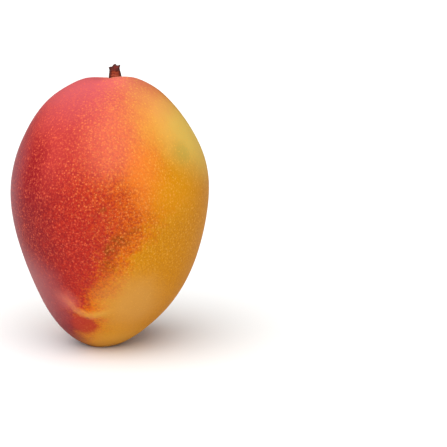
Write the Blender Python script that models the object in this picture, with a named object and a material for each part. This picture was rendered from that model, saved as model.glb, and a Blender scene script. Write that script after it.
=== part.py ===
"""A ripe mango standing on its narrow end, with the stub of its stem.

Metres, +Z up from the small flat spot that it rests on to the stem. The origin
is the middle of that spot. X runs across the cheeks, and -Y is the beak side.
"""

import math

import bmesh
import bpy
import numpy as np

# Driving dimensions of the fruit
BODY_LENGTH = 0.121  # from the tip to the stem end, before the tip is flattened
FOOT_CUT = 0.0017  # what the flat spot takes off the tip
BREADTH_RATIO = 1.09  # beak-to-back breadth over cheek-to-cheek thickness

# Sections at seven latitudes, evenly spaced by angle from the tip to the stem end:
# half the thickness across the cheeks, and where the middle of the section lies
HALF_THICKNESS = (0.0075, 0.0225, 0.0352, 0.0426, 0.0411, 0.0296, 0.0122)
LEAN_X = (0.0, 0.0015, 0.0035, 0.0031, 0.0032, 0.0024, 0.0038)
LEAN_Y = (0.0, 0.0, 0.0005, 0.0010, 0.0010, 0.0010, 0.0010)

# The stem, and the shallow cavity that it stands in
STEM_X = 0.0055
STEM_Y = 0.0010
STEM_HEIGHT = 0.0075  # mean height of its broken top over the lowest part of the rim
STEM_STRAIGHT = 0.0036  # how far it goes straight up from there, past the high front
STEM_ROOT_RADIUS = 0.0028
STEM_ROOT_DEPTH = 0.0026
STEM_GAP = 0.0003  # clearance between the root and its socket, all round
SOCKET_RIM = 1.25  # where the skin turns into the socket, over the socket's radius
SOCKET_LIP = 0.0003  # how far it turns down there
CAVITY_X = 0.0040  # the cavity is deepest a little to one side of the stem, and behind it
CAVITY_Y = 0.0035
CAVITY_DEPTH = 0.0028
CAVITY_REACH = 0.0065
SHOULDER_START = 0.80  # share of the half length above which the rings close on the stem

# Low swellings round the cavity: offset from the stem along X and along Y, reach along X
# and along Y, height
SHOULDERS = (
    (0.0065, -0.0010, 0.0060, 0.0085, 0.0024),
    (-0.0130, 0.0, 0.0080, 0.0130, 0.0015),
    (0.0005, -0.0060, 0.0070, 0.0045, 0.0020),
)

# The beak, and the hollow over it, both on the -Y side
BEAK_X = 0.0035
BEAK_HEIGHT = 0.0215  # height of its crest over the resting spot
BEAK_SWELL = 0.0010
BEAK_REACH_X = 0.0100
BEAK_REACH_Z = 0.0042
HOLLOW_X = 0.0085
HOLLOW_HEIGHT = 0.0305
HOLLOW_DEPTH = 0.0011
HOLLOW_REACH_X = 0.0120
HOLLOW_REACH_Z = 0.0062

# How finely the surfaces are divided
FRUIT_SIDES = 72
FRUIT_RINGS = 46
STEM_SIDES = 40

# The broken top of the stem: its points, each at the end of a ridge, and its slant
STEM_POINTS = 5
STEM_POINT_TURN = math.radians(33)
STEM_POINT_HEIGHT = 0.0005
STEM_SLANT = 0.0006
STEM_SLANT_TOWARD = math.radians(80)
STEM_LEAN = -0.0004  # how far the top leans along X

SKIN_COLOUR = (0.72, 0.19, 0.05, 1.0)
STEM_COLOUR = (0.13, 0.035, 0.015, 1.0)


def clear_scene():
    for obj in list(bpy.data.objects):
        bpy.data.objects.remove(obj, do_unlink=True)


def material(name, colour, roughness):
    mat = bpy.data.materials.new(name)
    mat.use_nodes = True
    shader = mat.node_tree.nodes["Principled BSDF"]
    shader.inputs["Base Color"].default_value = colour
    shader.inputs["Roughness"].default_value = roughness
    shader.inputs["Metallic"].default_value = 0.0
    return mat


def closed_body(name, rings, mat, sharp_angle):
    """A closed body from rings of points, bottom to top, with a fan over each end."""
    bm = bmesh.new()
    loops = [[bm.verts.new(point) for point in ring] for ring in rings]
    sides = len(loops[0])
    for low, high in zip(loops, loops[1:]):
        for i in range(sides):
            j = (i + 1) % sides
            bm.faces.new((low[i], low[j], high[j], high[i]))
    for loop, turned in ((loops[0], True), (loops[-1], False)):
        middle = bm.verts.new(sum((v.co for v in loop), loop[0].co * 0.0) / sides)
        for i in range(sides):
            pair = (loop[i], loop[(i + 1) % sides])
            bm.faces.new((*(reversed(pair) if turned else pair), middle))
    bmesh.ops.recalc_face_normals(bm, faces=bm.faces)
    mesh = bpy.data.meshes.new(name)
    bm.to_mesh(mesh)
    bm.free()
    mesh.shade_smooth()
    mesh.set_sharp_from_angle(angle=math.radians(sharp_angle))
    mesh.materials.append(mat)
    obj = bpy.data.objects.new(name, mesh)
    bpy.context.scene.collection.objects.link(obj)
    return obj


def smooth_curve(latitude_values, divide_by_sine=False):
    """The one smooth curve through seven values, as a function of the height share."""
    count = len(latitude_values)
    latitudes = (np.arange(count) + 0.5) * math.pi / count
    values = np.array(latitude_values)
    if divide_by_sine:
        values = values / np.sin(latitudes)
    return np.polynomial.Polynomial.fit(-np.cos(latitudes), values, count - 1, domain=[-1, 1])


THICKNESS = smooth_curve(HALF_THICKNESS, divide_by_sine=True)
MIDDLE_X = smooth_curve(LEAN_X)
MIDDLE_Y = smooth_curve(LEAN_Y)


def bell(*terms):
    """A smooth bump: 1 where every distance is 0, falling away over its reach."""
    return math.exp(-sum((distance / reach) ** 2 for distance, reach in terms))


def beak_relief(x, z):
    """How far the skin stands out along -Y, over the beak and the hollow above it."""
    beak = BEAK_SWELL * bell((x - BEAK_X, BEAK_REACH_X), (z - BEAK_HEIGHT, BEAK_REACH_Z))
    hollow = bell((x - HOLLOW_X, HOLLOW_REACH_X), (z - HOLLOW_HEIGHT, HOLLOW_REACH_Z))
    return beak - HOLLOW_DEPTH * hollow


def top_relief(x, y):
    """How far the skin rises at the stem end: the shoulders, less the cavity."""
    rise = -CAVITY_DEPTH * bell((x - CAVITY_X, CAVITY_REACH), (y - CAVITY_Y, CAVITY_REACH))
    for offset_x, offset_y, reach_x, reach_y, height in SHOULDERS:
        away = (x - STEM_X - offset_x, reach_x), (y - STEM_Y - offset_y, reach_y)
        rise += height * bell(*away)
    return rise


def skin_point(latitude, around):
    """The point of the skin at an angle from the tip and an angle around from +X."""
    share = -math.cos(latitude)
    radius = math.sin(latitude) * THICKNESS(share)
    closing = max(0.0, (share - SHOULDER_START) / (1 - SHOULDER_START)) ** 2
    middle_x = MIDDLE_X(share) + closing * (STEM_X - MIDDLE_X(1.0))
    middle_y = MIDDLE_Y(share) + closing * (STEM_Y - MIDDLE_Y(1.0))
    x = middle_x + radius * math.cos(around)
    y = middle_y + radius * BREADTH_RATIO * math.sin(around)
    z = BODY_LENGTH / 2 * (1 + share) - FOOT_CUT
    if y < middle_y:
        y -= beak_relief(x, z)
    if share > 0:
        z += top_relief(x, y)
    return x, y, z


def around_angles(sides):
    return [2 * math.pi * i / sides for i in range(sides)]


def circle(x, y, z, radius, sides):
    return [(x + radius * math.cos(a), y + radius * math.sin(a), z) for a in around_angles(sides)]


def foot_latitude():
    """Where the flat spot cuts the tip."""
    return math.acos(1 - 2 * FOOT_CUT / BODY_LENGTH)


def rim_latitude():
    """Where the skin ends, on the rim of the socket of the stem."""
    low, high = math.pi * 0.9, math.pi
    for _ in range(40):
        middle = (low + high) / 2
        wide = math.sin(middle) * THICKNESS(-math.cos(middle)) > socket_radius() * SOCKET_RIM
        low, high = (middle, high) if wide else (low, middle)
    return low


def socket_radius():
    return STEM_ROOT_RADIUS + STEM_GAP


def cavity_floor():
    """Lowest height of the skin where it meets the stem."""
    return min(z for _, _, z in skin_rings()[-1])


def skin_rings():
    start, end = foot_latitude(), rim_latitude()
    latitudes = [start + (end - start) * i / (FRUIT_RINGS - 1) for i in range(FRUIT_RINGS)]
    return [[skin_point(lat, a) for a in around_angles(FRUIT_SIDES)] for lat in latitudes]


def make_fruit():
    """Skin and flesh as one solid, with a socket for the root of the stem."""
    rings = skin_rings()
    rings[0] = [(x, y, 0.0) for x, y, _ in rings[0]]
    lip = circle(STEM_X, STEM_Y, 0.0, socket_radius(), FRUIT_SIDES)
    rings.append([(x, y, above[2] - SOCKET_LIP) for (x, y, _), above in zip(lip, rings[-1])])
    bottom = cavity_floor() - STEM_ROOT_DEPTH - STEM_GAP
    for radius in (socket_radius(), socket_radius() / 2):
        rings.append(circle(STEM_X, STEM_Y, bottom, radius, FRUIT_SIDES))
    return closed_body("fruit", rings, material("mango_skin", SKIN_COLOUR, 0.35), 35)


def stem_ring(height, radius, ridge=0.0, lean=0.0, slant=0.0, jag=0.0):
    """A ring of the stem, ridged all round. The top ones are slanted and jagged too."""
    ring = []
    for a in around_angles(STEM_SIDES):
        wave = math.cos(STEM_POINTS * (a - STEM_POINT_TURN))
        reach = radius * (1 + ridge * wave)
        x = STEM_X + lean * STEM_LEAN + reach * math.cos(a)
        y = STEM_Y + reach * math.sin(a)
        z = height + jag * wave + slant * STEM_SLANT * math.cos(a - STEM_SLANT_TOWARD)
        ring.append((x, y, z))
    return ring


def make_stem():
    """The dry stub: a round root in the socket, a taper and a five-pointed top."""
    floor = cavity_floor()
    root = floor - STEM_ROOT_DEPTH
    top = floor + STEM_HEIGHT
    points = STEM_POINT_HEIGHT
    rings = [
        stem_ring(root, STEM_ROOT_RADIUS - 0.0003),
        stem_ring(root + 0.0003, STEM_ROOT_RADIUS),
        stem_ring(floor + STEM_STRAIGHT, STEM_ROOT_RADIUS),
        stem_ring(floor + 0.0044, 0.0026, ridge=0.03, lean=0.3, slant=0.2),
        stem_ring(floor + 0.0055, 0.0023, ridge=0.06, lean=0.6, slant=0.5),
        stem_ring(top - 0.0010, 0.0021, ridge=0.09, lean=0.9, slant=0.9),
        stem_ring(top, 0.0022, ridge=0.16, lean=1.0, slant=1.0, jag=points),
        stem_ring(top + 0.0001, 0.0017, ridge=0.14, lean=1.0, slant=1.0, jag=points * 0.6),
        stem_ring(top - 0.0007, 0.0010, ridge=0.05, lean=1.0, slant=0.8),
    ]
    return closed_body("stem_stub", rings, material("stem_wood", STEM_COLOUR, 0.8), 40)


clear_scene()
make_fruit()
make_stem()
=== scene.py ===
"""The looks of the mango: its skin, its stem, a plain floor, soft light and a camera."""

import math

import bmesh
import bpy
from mathutils import Euler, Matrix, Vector, noise


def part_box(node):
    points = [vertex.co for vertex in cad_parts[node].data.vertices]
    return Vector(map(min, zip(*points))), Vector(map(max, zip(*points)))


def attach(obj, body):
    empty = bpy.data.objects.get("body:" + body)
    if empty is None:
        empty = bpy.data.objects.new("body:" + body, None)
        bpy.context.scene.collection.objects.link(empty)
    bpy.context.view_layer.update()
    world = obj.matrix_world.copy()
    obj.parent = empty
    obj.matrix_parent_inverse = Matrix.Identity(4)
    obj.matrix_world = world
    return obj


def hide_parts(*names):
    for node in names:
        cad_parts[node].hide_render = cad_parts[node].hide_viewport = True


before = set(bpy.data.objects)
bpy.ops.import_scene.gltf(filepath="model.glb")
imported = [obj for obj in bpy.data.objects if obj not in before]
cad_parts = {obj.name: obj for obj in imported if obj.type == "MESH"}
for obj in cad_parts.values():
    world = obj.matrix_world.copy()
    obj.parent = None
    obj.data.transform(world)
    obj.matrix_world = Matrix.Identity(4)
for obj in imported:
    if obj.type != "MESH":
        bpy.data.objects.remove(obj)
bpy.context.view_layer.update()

MM = 0.001

# Where things are on the fruit, in metres in the frame of the CAD model
FRUIT_LOW, FRUIT_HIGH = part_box("fruit")
STEM_LOW, STEM_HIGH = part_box("stem_stub")
FRUIT_MIDDLE = (FRUIT_LOW + FRUIT_HIGH) / 2
FRUIT_HALF = (FRUIT_HIGH - FRUIT_LOW) / 2
STEM_MIDDLE = (STEM_LOW + STEM_HIGH) / 2
BEAK = Vector((3.5 * MM, -33.0 * MM, 21.8 * MM))

# The crease over the beak comes down from the left and turns up a little past the beak
CREST_TILT = -0.32
CREST_SLOPE = 0.58
CREST_BEND = 2 * MM


def srgb(red, green, blue):
    """A colour written as 0 to 255, turned into the linear values that Blender mixes."""
    def linear(value):
        value /= 255
        return value / 12.92 if value <= 0.04045 else ((value + 0.055) / 1.055) ** 2.4
    return (linear(red), linear(green), linear(blue), 1.0)


def link(obj):
    bpy.context.scene.collection.objects.link(obj)
    return obj


# --- node graphs -----------------------------------------------------------------------

# Blender's noise mostly stays within a quarter of 0.5, and this spreads it to 1 each way
NOISE_GAIN = 4.0
# A Mix node has sockets for numbers, for vectors and, at these places, for colours
MIX_FIRST, MIX_SECOND, MIX_RESULT = 6, 7, 2


class Graph:
    """The nodes of a material or a world, added by short calls on sockets and plain values."""

    def __init__(self, owner, shader="Principled BSDF", coordinate="Object"):
        owner.use_nodes = True
        self.owner = owner
        self.tree = owner.node_tree
        self.shader = self.tree.nodes[shader]
        self.place = self.add("ShaderNodeTexCoord").outputs[coordinate]

    def add(self, kind, **settings):
        node = self.tree.nodes.new(kind)
        for key, value in settings.items():
            setattr(node, key, value)
        return node

    def feed(self, sockets, values):
        for socket, value in zip(sockets, values):
            if isinstance(value, bpy.types.NodeSocket):
                self.tree.links.new(value, socket)
            else:
                socket.default_value = value

    def shade(self, **values):
        """Feeds inputs of the shader. In their names, underscores stand for spaces."""
        for name, value in values.items():
            self.feed([self.shader.inputs[name.replace("_", " ")]], [value])

    def math(self, operation, *values, clamp=False):
        node = self.add("ShaderNodeMath", operation=operation, use_clamp=clamp)
        self.feed(node.inputs, values)
        return node.outputs[0]

    def vector(self, operation, *values):
        node = self.add("ShaderNodeVectorMath", operation=operation)
        self.feed(node.inputs, values)
        return node.outputs["Value" if operation in ("DOT_PRODUCT", "LENGTH") else "Vector"]

    def height(self, place):
        return self.vector("DOT_PRODUCT", place, (0, 0, 1))

    def noise(self, size, detail=2.0, place=None, output="Fac"):
        """Smooth random values around 0.5, with lumps of about this size in metres."""
        node = self.add("ShaderNodeTexNoise")
        self.feed([node.inputs[name] for name in ("Vector", "Scale", "Detail")],
                  (place or self.place, 1 / size, detail))
        return node.outputs[output]

    def swing(self, size, amount):
        """Smooth random values around 0, mostly within this amount each way."""
        gain = NOISE_GAIN * amount
        return self.math("MULTIPLY_ADD", self.noise(size), gain, -gain / 2)

    def wander(self, place, size, amount):
        """The same place, moved a little at random, so that what is drawn there is ragged."""
        random = self.noise(size, place=place, output="Color")
        offset = self.vector("SUBTRACT", random, (0.5, 0.5, 0.5))
        offset = self.vector("MULTIPLY", offset, (NOISE_GAIN * amount,) * 3)
        return self.vector("ADD", place, offset)

    def cells(self, size):
        """Distance in metres to the nearest scattered point, and a random colour of its own."""
        node = self.add("ShaderNodeTexVoronoi")
        self.feed([node.inputs["Vector"], node.inputs["Scale"]], (self.place, 1 / size))
        return self.math("MULTIPLY", node.outputs["Distance"], size), node.outputs["Color"]

    def step(self, value, low, high, to_low=0.0, to_high=1.0):
        """A smooth step from one value to another as the input goes from low to high."""
        node = self.add("ShaderNodeMapRange", interpolation_type="SMOOTHSTEP")
        self.feed(node.inputs, (value, low, high, to_low, to_high))
        return node.outputs["Result"]

    def mix(self, factor, first, second):
        """The first colour where the factor is 0, and the second where it is 1."""
        node = self.add("ShaderNodeMix", data_type="RGBA")
        self.feed([node.inputs["Factor"], node.inputs[MIX_FIRST], node.inputs[MIX_SECOND]],
                  (factor, first, second))
        return node.outputs[MIX_RESULT]

    def ramp(self, value, stops, interpolation="LINEAR"):
        """Colours mixed along a value from 0 to 1."""
        node = self.add("ShaderNodeValToRGB")
        self.feed([node.inputs["Fac"]], [value])
        node.color_ramp.interpolation = interpolation
        elements = node.color_ramp.elements
        while len(elements) < len(stops):
            elements.new(0.5)
        for element, (position, colour) in zip(elements, stops):
            element.position = position
            element.color = colour
        return node.outputs["Color"]

    def by_height(self, height, stops):
        """A value from -1 to 1 that changes smoothly over heights given in millimetres."""
        top = stops[-1][0]
        greys = [(z / top, ((v + 1) / 2,) * 3 + (1.0,)) for z, v in stops]
        share = self.math("DIVIDE", height, top * MM)
        return self.math("MULTIPLY_ADD", self.ramp(share, greys, "EASE"), 2.0, -1.0)

    def patch(self, place, centre, reach, soft=0.8):
        """1 round a centre, fading to 0 at its reach along each axis, both in millimetres."""
        away = self.vector("SUBTRACT", place, tuple(c * MM for c in centre))
        scaled = self.vector("MULTIPLY", away, tuple(1 / (r * MM) for r in reach))
        return self.step(self.vector("LENGTH", scaled), 1 - soft, 1.0, 1.0, 0.0)

    def bump(self, height, distance, *normal):
        """Relief by shading alone: a height from 0 to 1 over this distance in metres."""
        node = self.add("ShaderNodeBump")
        names = ("Height", "Distance", "Normal")
        self.feed([node.inputs[name] for name in names], (height, distance, *normal))
        return node.outputs["Normal"]


# --- colours and markings of the skin --------------------------------------------------

# Horizontal direction that the sun came from, while the fruit hung
SUN_AZIMUTH = math.radians(210)
SUN_SIDE = (math.cos(SUN_AZIMUTH), math.sin(SUN_AZIMUTH), 0.0)

# How far round from the sun side the red gives way to gold, and how gradually, by height
# in mm: as the cosine of the angle from the sun side
BLUSH_EDGE = (
    (0, 0.95), (8, 0.76), (13, 0.56), (19, 0.44), (22.5, 0.62), (27, 0.47), (33, 0.33),
    (39, 0.27), (47, 0.21), (56, 0.09), (70, 0.05), (90, 0.13), (120, 0.22),
)
BLUSH_FADE = ((0, 0.60), (13, 0.38), (22, 0.27), (47, 0.30), (62, 0.48), (72, 0.66), (120, 0.66))

# Marks stray at random from their smooth outlines: the size of the waves, and how far
RAGGED = ((20 * MM, 2.0 * MM), (5 * MM, 0.8 * MM))
# The edge of the blush strays once more, here by so much of a cosine
EDGE_SWINGS = ((4 * MM, 0.08), (1.2 * MM, 0.10))

# Waxy skin, a little less so away from the blush
ROUGH_RED, ROUGH_GOLD = 0.46, 0.60
SKIN_IOR = 1.16
PORE_SIZE, PORE_DEPTH = 0.7 * MM, 0.03 * MM

MAROON = srgb(110, 14, 28)
RED = srgb(168, 38, 26)
SCARLET = srgb(176, 50, 24)
ORANGE_RED = srgb(186, 70, 16)
ORANGE = srgb(199, 94, 8)
AMBER = srgb(200, 114, 4)
GOLD = srgb(194, 124, 4)
# The skin's colour, by how red the sun has made it
BLUSH = (
    (0.0, GOLD), (0.17, AMBER), (0.36, ORANGE), (0.58, ORANGE_RED), (0.72, SCARLET), (0.86, RED),
)

# The side that faced the sun turns maroon, partly the skin's own deeper red and partly painted
# shade on that side: cosines where that starts and ends, and how much
MAROON_FROM, MAROON_TO, MAROON_MOST = 0.5, 1.0, 0.8
# Maroon freckles: their size, the values of the noise that they fade between, and how strong
# they are on the gold and on the red
FRECKLE_SIZE = 0.9 * MM
FRECKLE_EDGE = (0.42, 0.55)
FRECKLES_ON_GOLD, FRECKLES_ON_RED = 0.14, 0.38

# Soft patches on the skin, several of them painted light, as each says: colour, centre and reach in
# mm, and how strong
PATCHES = {
    # Partly a painted sheen of the light from above on the red
    "light red on the upper left, partly painted sheen": (srgb(180, 54, 50), (-13, -28, 96), (28, 38, 32), 0.8),
    # Partly the skin's darker red, partly painted shade on the left
    "dark band on the left, partly painted shade": (srgb(132, 10, 22), (-20, -33, 82), (11, 18, 26), 0.75),
    # A painted reflection of the grey studio along the left edge
    "painted reflection on the left edge": (srgb(134, 58, 70), (-34, -22, 76), (15, 24, 50), 0.6),
    # A painted highlight of the light from above
    "painted highlight on the front": (srgb(216, 102, 84), (16, -34, 100), (20, 26, 28), 0.5),
    # Orange, partly the same painted highlight
    "bright orange, partly painted highlight": (srgb(228, 124, 44), (28, -31, 84), (12, 18, 20), 0.55),
    "bright gold on the right": (srgb(208, 136, 4), (37, -20, 76), (16, 26, 18), 0.7),
    "yellow shoulder": (srgb(230, 158, 74), (37, -12, 113), (24, 34, 32), 0.85),
    "pale shoulder": (srgb(210, 178, 84), (43, 4, 101), (24, 37, 31), 0.9),
    "green spot": (srgb(134, 140, 50), (39, -12, 90), (7, 9, 8), 0.3),
    # A painted sheen of the light from above, over the top of the fruit
    "painted sheen round the stem": (srgb(208, 92, 98), (-5, 0, 122), (52, 52, 36), 0.76),
    # A painted highlight on the rim in front of the stem
    "painted highlight at the stem": (srgb(230, 150, 112), (5.5, -4, 121), (7, 3, 3), 0.5),
    # A painted cool reflection in the shade of the lower left
    "painted cool reflection on the lower left": (srgb(160, 88, 90), (-20, -23, 30), (22, 34, 25), 0.65),
    # A painted highlight on the ridge over the beak
    "painted highlight over the beak": (srgb(208, 114, 100), (-5, -35, 28.5), (9, 12, 6.5), 0.35),
    "gold beside the beak": (srgb(196, 138, 62), (22, -27, 27), (20, 26, 24), 0.85),
    "gold on the foot": (srgb(210, 150, 54), (12, -12, 2), (26, 30, 19), 0.8),
}

# Brown scuffs in a band across the front: centre, reach in mm, and how strong
SCUFFS = (
    ((26, -39, 63), (6, 8, 3), 0.6),
    ((20.7, -41, 58.5), (7, 8, 5.5), 0.95),
    ((16.5, -42, 53), (6, 8, 7), 0.85),
    ((15, -41, 46), (5.5, 8, 6), 0.7),
    ((11.8, -45, 70.5), (2.5, 8, 2), 0.7),
)
SCUFF_BROWN = srgb(132, 58, 8)
# Between their lines, which are this fine and fade between these values of the noise, the
# scuffs are this faint
SCUFF_LINES = 1.1 * MM
SCUFF_EDGE = (0.38, 0.62)
SCUFF_FAINT = 0.3

# A red cheek below the crease: centre and reach in mm, how soft its edge is, how strong it is,
# and where it fades out, as a height over the line of the crease
CHEEK = ((0, -29, 15), (8, 12, 9.5), 0.4)
CHEEK_RED = srgb(170, 46, 26)
CHEEK_SHARE = 0.85
CHEEK_FADE = (-1.0 * MM, -0.1 * MM)
# A painted highlight along the crease, where its ridge catches the light from above, and how far
# off that line it fades out
PAINTED_CREST_HIGHLIGHT = ((3, -34, 26), (13, 14, 11), 0.5)
PAINTED_CREST_HIGHLIGHT_ON_GOLD, PAINTED_CREST_HIGHLIGHT_ON_RED = srgb(206, 150, 66), srgb(200, 108, 80)
PAINTED_CREST_HIGHLIGHT_SHARE = 0.55
PAINTED_CREST_HIGHLIGHT_FADE = (0.3 * MM, 3.2 * MM)
# A small dark scar under the crease
SCAR = ((3.2, -32.2, 20.4), (1.7, 3.0, 0.6))
SCAR_BROWN = srgb(104, 48, 20)
SCAR_SHARE = 0.7

# Breathing spots: how clearly they show, by height in mm, and their colours
SPOTS_BY_HEIGHT = ((0, 0.15), (34, 0.35), (52, 0.9), (94, 1.0), (116, 0.85))
SPOTS_ON_GOLD, SPOTS_ON_RED = srgb(226, 168, 66), srgb(228, 98, 66)
# Large and small dots: how far apart, and the radius of the largest of them
LARGE_SPOTS = (1.3 * MM, 0.52 * MM)
SMALL_SPOTS = (0.8 * MM, 0.28 * MM)
# The smallest dot over the largest, and where a dot starts and ends to fade, over its radius
SMALLEST_SPOT = 0.4
SPOT_FADE = (0.2, 1.3)
# Pale mottles between the dots, drawn out a little along the height: their size, and the
# values of the noise that they fade between
MOTTLE_SIZE = 0.9 * MM
MOTTLE_SQUEEZE = (1, 1, 0.75)
MOTTLE_EDGE = (0.48, 0.75)
# How clearly the mottles, large dots and small dots show on the gold and on the red
SPOT_SHARES = ((0.22, 0.26), (0.56, 0.62), (0.44, 0.46))


def sun_exposure(g, ragged):
    """Cosine of the angle round the fruit from the side that faced the sun, a little uneven."""
    around = g.vector("MULTIPLY", g.vector("SUBTRACT", ragged, tuple(FRUIT_MIDDLE)),
                      (1 / FRUIT_HALF.x, 1 / FRUIT_HALF.y, 0.0))
    side = g.vector("DOT_PRODUCT", g.vector("NORMALIZE", around), SUN_SIDE)
    for size, amount in EDGE_SWINGS:
        side = g.math("ADD", side, g.swing(size, amount))
    return side


def blush_amount(g, side, height):
    """How red the sun has made each place, from 0 to 1."""
    past_edge = g.math("SUBTRACT", side, g.by_height(height, BLUSH_EDGE))
    past_edge = g.math("DIVIDE", past_edge, g.by_height(height, BLUSH_FADE))
    return g.math("MULTIPLY_ADD", past_edge, 0.5, 0.5, clamp=True)


def ground_colour(g, ragged, side, blush):
    """Gold to red and maroon, with freckles and soft patches; the maroon is partly painted shade,
    and several patches are painted sheen, highlights, reflections and shade.
    """
    # Maroon toward the sun side: partly the skin's deeper red, partly painted shade
    maroon = g.step(side, MAROON_FROM, MAROON_TO, 0.0, MAROON_MOST)
    colour = g.mix(maroon, g.ramp(blush, BLUSH), MAROON)
    freckle = g.step(g.noise(FRECKLE_SIZE), *FRECKLE_EDGE, 1.0, 0.0)
    share = g.step(blush, 0.0, 0.5, FRECKLES_ON_GOLD, FRECKLES_ON_RED)
    colour = g.mix(g.math("MULTIPLY", freckle, share), colour, MAROON)
    for tint, centre, reach, strength in PATCHES.values():
        amount = g.math("MULTIPLY", g.patch(ragged, centre, reach), strength)
        colour = g.mix(amount, colour, tint)
    return colour


def add_scuffs(g, colour, ragged):
    """Brown scuffs, broken up into fine lines and smudges."""
    scuff = 0.0
    for centre, reach, strength in SCUFFS:
        amount = g.math("MULTIPLY", g.patch(ragged, centre, reach), strength)
        scuff = g.math("MAXIMUM", scuff, amount)
    broken = g.step(g.noise(SCUFF_LINES, detail=3.0), *SCUFF_EDGE, SCUFF_FAINT, 1.0)
    return g.mix(g.math("MULTIPLY", scuff, broken), colour, SCUFF_BROWN)


def above_crease(g, place):
    """How far a place is above the line of the crease, in metres, on the beak's side."""
    past = g.math("SUBTRACT", g.vector("DOT_PRODUCT", place, (1, 0, 0)), BEAK.x)
    bend = g.math("SQRT", g.math("MULTIPLY_ADD", past, past, CREST_BEND ** 2))
    line = g.math("MULTIPLY_ADD", bend, CREST_SLOPE, BEAK.z - CREST_BEND * CREST_SLOPE)
    line = g.math("MULTIPLY_ADD", past, CREST_TILT, line)
    return g.math("SUBTRACT", g.height(place), line)


def add_beak_marks(g, colour, ragged, blush):
    """A red cheek below the crease, a painted highlight along it and a small dark scar."""
    over = above_crease(g, ragged)
    below = g.step(over, *CHEEK_FADE, CHEEK_SHARE, 0.0)
    colour = g.mix(g.math("MULTIPLY", g.patch(ragged, *CHEEK), below), colour, CHEEK_RED)
    # A painted highlight along the crease
    near = g.step(g.math("ABSOLUTE", over), *PAINTED_CREST_HIGHLIGHT_FADE, PAINTED_CREST_HIGHLIGHT_SHARE, 0.0)
    crest_highlight = g.math("MULTIPLY", g.patch(g.place, *PAINTED_CREST_HIGHLIGHT), near)
    colour = g.mix(crest_highlight, colour, g.mix(blush, PAINTED_CREST_HIGHLIGHT_ON_GOLD, PAINTED_CREST_HIGHLIGHT_ON_RED))
    return g.mix(g.math("MULTIPLY", g.patch(ragged, *SCAR), SCAR_SHARE), colour, SCAR_BROWN)


def breathing_spots(g, spacing, radius):
    """1 on small dots of random sizes, scattered about this far apart, and 0 between them."""
    distance, random = g.cells(spacing)
    smallest = SMALLEST_SPOT * radius
    size = g.math("MULTIPLY_ADD", g.height(random), radius - smallest, smallest)
    return g.step(g.math("DIVIDE", distance, size), *SPOT_FADE, 1.0, 0.0)


def add_spots(g, colour, height, blush, large):
    """Pale dots over faint mottles, clearer on the blush than on the gold."""
    pale = g.mix(blush, SPOTS_ON_GOLD, SPOTS_ON_RED)
    thick = g.by_height(height, SPOTS_BY_HEIGHT)
    squeezed = g.vector("MULTIPLY", g.place, MOTTLE_SQUEEZE)
    mottle = g.step(g.noise(MOTTLE_SIZE, detail=1.0, place=squeezed), *MOTTLE_EDGE)
    small = breathing_spots(g, *SMALL_SPOTS)
    for dot, (on_gold, on_red) in zip((mottle, large, small), SPOT_SHARES):
        shown = g.math("MULTIPLY", thick, g.step(blush, 0.05, 0.5, on_gold, on_red))
        colour = g.mix(g.math("MULTIPLY", dot, shown), colour, pale)
    return colour


def skin_material():
    g = Graph(bpy.data.materials.new("mango_skin"))
    ragged = g.place
    for size, amount in RAGGED:
        ragged = g.wander(ragged, size, amount)
    height = g.height(ragged)
    side = sun_exposure(g, ragged)
    blush = blush_amount(g, side, height)
    large = breathing_spots(g, *LARGE_SPOTS)

    colour = ground_colour(g, ragged, side, blush)
    colour = add_scuffs(g, colour, ragged)
    colour = add_beak_marks(g, colour, ragged, blush)
    colour = add_spots(g, colour, height, blush, large)

    pores = g.bump(g.noise(PORE_SIZE), PORE_DEPTH)
    roughness = g.step(blush, 0.0, 0.7, ROUGH_GOLD, ROUGH_RED)
    normal = g.bump(large, PORE_DEPTH, pores)
    g.shade(Base_Color=colour, Roughness=roughness, IOR=SKIN_IOR, Normal=normal)
    return g.owner


# --- the form of the skin --------------------------------------------------------------

# Points this close are one, and two triangles this flat and this square together are one quad
WELD = 1e-6
FLAT_WITHIN, SQUARE_WITHIN = math.radians(40), math.radians(50)
SKIN_LEVELS = 2

# Gentle unevenness: the size of its lumps and how high they are, and how far all of it is sunk
UNEVEN = ((21 * MM, 0.10 * MM), (9 * MM, 0.03 * MM))
UNEVEN_SINK = 0.10 * MM
# The relief fades out over the lowest part, so that the foot stays flat
RELIEF_FULL_FROM = 1.0 * MM

# How far along the crease stands out and fades away, and how high and wide it is
CREST_LEFT, CREST_RIGHT = -10 * MM, 16 * MM
CREST_LEFT_FADE, CREST_RIGHT_FADE = 5 * MM, 9 * MM
CREST_HALF_WIDTH = 1.7 * MM
CREST_RISE = 0.45 * MM


def quad_copy(node, name):
    """A CAD node's mesh with its triangles joined back into quads, as a new object."""
    bm = bmesh.new()
    bm.from_mesh(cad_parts[node].data)
    bmesh.ops.remove_doubles(bm, verts=bm.verts, dist=WELD)
    bmesh.ops.join_triangles(bm, faces=bm.faces, angle_face_threshold=FLAT_WITHIN,
                             angle_shape_threshold=SQUARE_WITHIN)
    mesh = bpy.data.meshes.new(name)
    bm.to_mesh(mesh)
    bm.free()
    return link(bpy.data.objects.new(name, mesh))


def subdivide(obj, levels):
    modifier = obj.modifiers.new("fine", "SUBSURF")
    modifier.levels = levels
    graph = bpy.context.evaluated_depsgraph_get()
    mesh = bpy.data.meshes.new_from_object(obj.evaluated_get(graph))
    obj.modifiers.clear()
    obj.data = mesh


def finish_piece(obj, material, node):
    obj.data.shade_smooth()
    obj.data.materials.clear()
    obj.data.materials.append(material)
    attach(obj, "root")
    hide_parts(node)


def smooth_step(value, low, high):
    """0 up to the low end, 1 from the high end on, and smooth between them."""
    share = min(1.0, max(0.0, (value - low) / (high - low)))
    return share * share * (3 - 2 * share)


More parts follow.
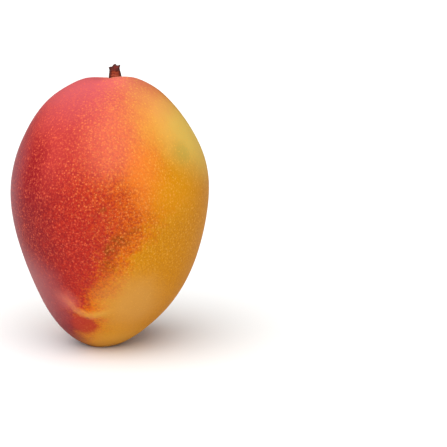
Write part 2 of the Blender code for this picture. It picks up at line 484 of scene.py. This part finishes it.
def crest_height(x):
    """Height of the crease at a place across the fruit."""
    past = x - BEAK.x
    return BEAK.z + CREST_TILT * past + CREST_SLOPE * (math.hypot(past, CREST_BEND) - CREST_BEND)


def relief(place):
    """How far the skin stands out at a place, in metres. It is mostly a little less than 0."""
    rise = sum(noise.noise(place / size) * height for size, height in UNEVEN) - UNEVEN_SINK
    if place.y < 0:
        window = smooth_step(place.x, CREST_LEFT, CREST_LEFT + CREST_LEFT_FADE)
        window *= 1 - smooth_step(place.x, CREST_RIGHT - CREST_RIGHT_FADE, CREST_RIGHT)
        off = (place.z - crest_height(place.x)) / CREST_HALF_WIDTH
        rise += CREST_RISE * window * math.exp(-off * off)
    return rise * smooth_step(place.z, 0.0, RELIEF_FULL_FROM)


def make_skin():
    skin = quad_copy("fruit", "mango_skin")
    subdivide(skin, SKIN_LEVELS)
    normals = [vertex.normal.copy() for vertex in skin.data.vertices]
    for vertex, normal in zip(skin.data.vertices, normals):
        vertex.co += normal * relief(vertex.co)
    finish_piece(skin, skin_material(), "fruit")


# --- the stem --------------------------------------------------------------------------

STEM_SIDES = 100
STEM_RINGS = 40
STEM_RIBS = 5
RIB_TURN = math.radians(33)
# Profile of the stem from its root to its broken top: share of its height, radius in mm,
# depth of its ribs
STEM_PROFILE = (
    (0.00, 2.50, 0.0), (0.03, 2.80, 0.0), (0.52, 2.80, 0.01), (0.66, 2.60, 0.04),
    (0.78, 2.30, 0.07), (0.90, 2.10, 0.10), (1.00, 2.20, 0.18),
)
# Share of the height from which the stem leans, slants and is rough
STEM_UPPER = 0.4
STEM_LEAN = -0.4 * MM
# The broken top is highest toward this side, and lower by twice the slant on the other
STEM_SLANT, STEM_SLANT_TOWARD = 1.15 * MM, math.radians(82)
STEM_JAG = 0.25 * MM
# Grain: how finely it varies round the stem and along it, and how deep it is
GRAIN_AROUND, GRAIN_ALONG = 6, 14
GRAIN_DEPTH = 0.06 * MM
# Fine rings below the ribs: the shares of the height where they set in, the angle that their
# wave runs through over the whole height, and their depth
RIPPLE_START = (0.34, 0.5)
RIPPLE_ANGLE = 70
RIPPLE_DEPTH = 0.05 * MM
# Rings that close the hollow of the broken top: how much of the radius they keep, and how far
# they sink
STEM_HOLLOW = ((0.8, 0.1 * MM), (0.6, 0.5 * MM), (0.35, 0.9 * MM), (0.15, 1.0 * MM))

# Fibres, drawn out along the stem: their colours by the noise, size and depth
FIBRE_COLOURS = ((0.3, srgb(96, 26, 8)), (0.7, srgb(158, 54, 22)))
FIBRE_SIZE, FIBRE_DEPTH = 0.5 * MM, 0.1 * MM
FIBRE_SQUEEZE = (1, 1, 0.25)
STEM_RAGGED = (1.5 * MM, 0.3 * MM)
# Light rings, from this sine of their wave on
RING_BROWN = srgb(196, 96, 52)
RING_SHARE = 0.35
RING_SPACING = 1.1 * MM
RING_FROM = 0.3
# Painted shade on the stem's two sides, left and right as the camera sees them, which sets in
# between these distances from the middle, both ways along this line
PAINTED_SIDE_SHADE = srgb(50, 14, 6)
PAINTED_SIDE_SHADE_SHARE = 0.8
PAINTED_SIDE_SHADE_FADE = (1.3 * MM, 2.3 * MM)
SIDE_AZIMUTH = math.radians(17)
SIDE_DIRECTION = (math.cos(SIDE_AZIMUTH), math.sin(SIDE_AZIMUTH), 0.0)
# A dark top, between these heights below the tips, with a red heart
TOP_BROWN = srgb(58, 8, 6)
TOP_SHARE = 0.85
TOP_FADE = (3.2 * MM, 1.9 * MM)
HEART_RED = srgb(150, 26, 20)
HEART_SHARE = 0.7
HEART_REACH = (1.5, 1.5, 2.6)
STEM_ROUGHNESS, STEM_SHINE = 0.7, 0.25


def profile(share):
    """Radius and rib depth at a share of the stem's height."""
    for low, high in zip(STEM_PROFILE, STEM_PROFILE[1:]):
        if share <= high[0]:
            t = smooth_step(share, low[0], high[0])
            return tuple(a + (b - a) * t for a, b in zip(low[1:], high[1:]))
    return STEM_PROFILE[-1][1:]


def stem_point(share, angle, shrink=1.0, sink=0.0):
    """A point of the stem's surface, at a share of its height and an angle round it."""
    radius, ribs = profile(share)
    upper = smooth_step(share, STEM_UPPER, 1.0)
    x, y = math.cos(angle), math.sin(angle)
    wave = math.cos(STEM_RIBS * (angle - RIB_TURN))
    grain = noise.noise(Vector((GRAIN_AROUND * x, GRAIN_AROUND * y, GRAIN_ALONG * share)))
    ripple = math.sin(share * RIPPLE_ANGLE) * smooth_step(share, *RIPPLE_START) * (1 - upper)
    reach = radius * (1 + ribs * wave) * shrink * MM
    reach += GRAIN_DEPTH * grain * upper + RIPPLE_DEPTH * ripple
    height = STEM_LOW.z + (STEM_HIGH.z - STEM_LOW.z) * share - sink
    height += STEM_SLANT * upper * (math.cos(angle - STEM_SLANT_TOWARD) - 1)
    height += STEM_JAG * upper ** 3 * (wave - 1 + grain)
    return STEM_MIDDLE.x + STEM_LEAN * upper + reach * x, STEM_MIDDLE.y + reach * y, height


def make_stem():
    """The dry stub: a flared foot, five ribs and a broken, star-shaped top."""
    angles = [2 * math.pi * i / STEM_SIDES for i in range(STEM_SIDES)]
    rings = [[stem_point(i / STEM_RINGS, a) for a in angles] for i in range(STEM_RINGS + 1)]
    for shrink, sink in STEM_HOLLOW:
        rings.append([stem_point(1.0, a, shrink, sink) for a in angles])
    points = [point for ring in rings for point in ring]
    faces = []
    for low in range(0, len(points) - STEM_SIDES, STEM_SIDES):
        high = low + STEM_SIDES
        for i in range(STEM_SIDES):
            j = (i + 1) % STEM_SIDES
            faces.append((low + i, low + j, high + j, high + i))
    faces.append(tuple(reversed(range(STEM_SIDES))))
    faces.append(tuple(range(len(points) - STEM_SIDES, len(points))))
    mesh = bpy.data.meshes.new("stem")
    mesh.from_pydata(points, [], faces)
    stem = link(bpy.data.objects.new("stem", mesh))
    finish_piece(stem, stem_material(), "stem_stub")


def stem_material():
    """Brown fibres with light rings, painted shade on two sides and a dark top with a red heart."""
    g = Graph(bpy.data.materials.new("stem_wood"))
    squeezed = g.vector("MULTIPLY", g.place, FIBRE_SQUEEZE)
    fibre = g.noise(FIBRE_SIZE, detail=3.0, place=squeezed)
    colour = g.ramp(fibre, FIBRE_COLOURS)
    ragged = g.wander(g.place, *STEM_RAGGED)
    height = g.height(ragged)

    turns = g.math("MULTIPLY", height, 2 * math.pi / RING_SPACING)
    ring = g.step(g.math("SINE", turns), RING_FROM, 1.0)
    colour = g.mix(g.math("MULTIPLY", ring, RING_SHARE), colour, RING_BROWN)

    off_axis = g.vector("SUBTRACT", ragged, tuple(STEM_MIDDLE))
    edge = g.math("ABSOLUTE", g.vector("DOT_PRODUCT", off_axis, SIDE_DIRECTION))
    # Painted shade on the two sides, left and right as seen from the camera
    colour = g.mix(g.step(edge, *PAINTED_SIDE_SHADE_FADE, 0.0, PAINTED_SIDE_SHADE_SHARE), colour, PAINTED_SIDE_SHADE)

    top_from, top_full = (STEM_HIGH.z - below for below in TOP_FADE)
    colour = g.mix(g.step(height, top_from, top_full, 0.0, TOP_SHARE), colour, TOP_BROWN)
    top_middle = (STEM_MIDDLE.x / MM, STEM_MIDDLE.y / MM, STEM_HIGH.z / MM)
    heart = g.math("MULTIPLY", g.patch(ragged, top_middle, HEART_REACH), HEART_SHARE)
    colour = g.mix(heart, colour, HEART_RED)

    g.shade(Base_Color=colour, Roughness=STEM_ROUGHNESS, Specular_IOR_Level=STEM_SHINE,
            Normal=g.bump(fibre, FIBRE_DEPTH))
    return g.owner


# --- floor, light and camera -----------------------------------------------------------

FLOOR_HALF = 6.0
FLOOR_WHITE = (0.9, 0.9, 0.9, 1.0)
FLOOR_ROUGHNESS, FLOOR_SHINE = 0.9, 0.2
# The camera looks at the fruit from the beak side, a little to the right and from above
CAMERA_AZIMUTH = math.radians(17)
CAMERA_ELEVATION = math.radians(13)
CAMERA_DISTANCE = 0.9
CAMERA_TARGET = Vector((0, 0, 60 * MM))
CAMERA_LENS_MM = 163.85
CAMERA_SENSOR_MM = 36.0
# How far the camera turns from the fruit's axis, to leave room on the right
CAMERA_TURN = math.radians(3.398)
CAMERA_DIP = math.radians(0.346)
# One large soft light hangs nearly overhead, and the studio is brighter on the camera's side
KEY_FALL = (0.14, 0.43, -1.0)
KEY_STRENGTH = 3.2
KEY_SOFTNESS = math.radians(90)
KEY_COLOUR = (1.0, 0.985, 0.95)
SKY_AROUND, SKY_OVERHEAD, SKY_IN_FRONT = 0.18, 0.15, 0.85
SKY_COLOUR = (0.95, 1.0, 1.05, 1.0)


def make_floor():
    mesh = bpy.data.meshes.new("floor")
    corners = [(x * FLOOR_HALF, y * FLOOR_HALF, 0) for x, y in ((-1, -1), (1, -1), (1, 1), (-1, 1))]
    mesh.from_pydata(corners, [], [(0, 1, 2, 3)])
    g = Graph(bpy.data.materials.new("floor"))
    g.shade(Base_Color=FLOOR_WHITE, Roughness=FLOOR_ROUGHNESS, Specular_IOR_Level=FLOOR_SHINE)
    mesh.materials.append(g.owner)
    link(bpy.data.objects.new("floor", mesh))


def make_light():
    sun = bpy.data.lights.new("key", "SUN")
    sun.energy = KEY_STRENGTH
    sun.angle = KEY_SOFTNESS
    sun.color = KEY_COLOUR
    key = link(bpy.data.objects.new("key", sun))
    key.rotation_euler = Vector(KEY_FALL).to_track_quat("-Z", "Y").to_euler()


def make_sky():
    """A grey studio, brighter overhead and on the camera's side."""
    g = Graph(bpy.data.worlds.new("studio"), "Background", "Generated")
    front = (math.sin(CAMERA_AZIMUTH), -math.cos(CAMERA_AZIMUTH), 0.0)
    ahead = g.step(g.vector("DOT_PRODUCT", g.place, front), 0.0, 1.0, 0.0, SKY_IN_FRONT)
    above = g.step(g.height(g.place), 0.0, 1.0, SKY_AROUND, SKY_AROUND + SKY_OVERHEAD)
    g.shade(Color=SKY_COLOUR, Strength=g.math("ADD", ahead, above))
    bpy.context.scene.world = g.owner


def make_camera():
    data = bpy.data.cameras.new("camera")
    data.lens = CAMERA_LENS_MM
    data.sensor_width = CAMERA_SENSOR_MM
    facing_fruit = Euler((math.pi / 2 - CAMERA_ELEVATION, 0.0, CAMERA_AZIMUTH)).to_matrix()
    turn = Euler((-CAMERA_DIP, -CAMERA_TURN, 0.0)).to_matrix()
    camera = link(bpy.data.objects.new("camera", data))
    camera.location = CAMERA_TARGET + facing_fruit.col[2] * CAMERA_DISTANCE
    camera.rotation_euler = (facing_fruit @ turn).to_euler()
    bpy.context.scene.camera = camera


make_camera()
make_skin()
make_stem()
make_floor()
make_light()
make_sky()
bpy.context.scene.view_settings.view_transform = "Standard"
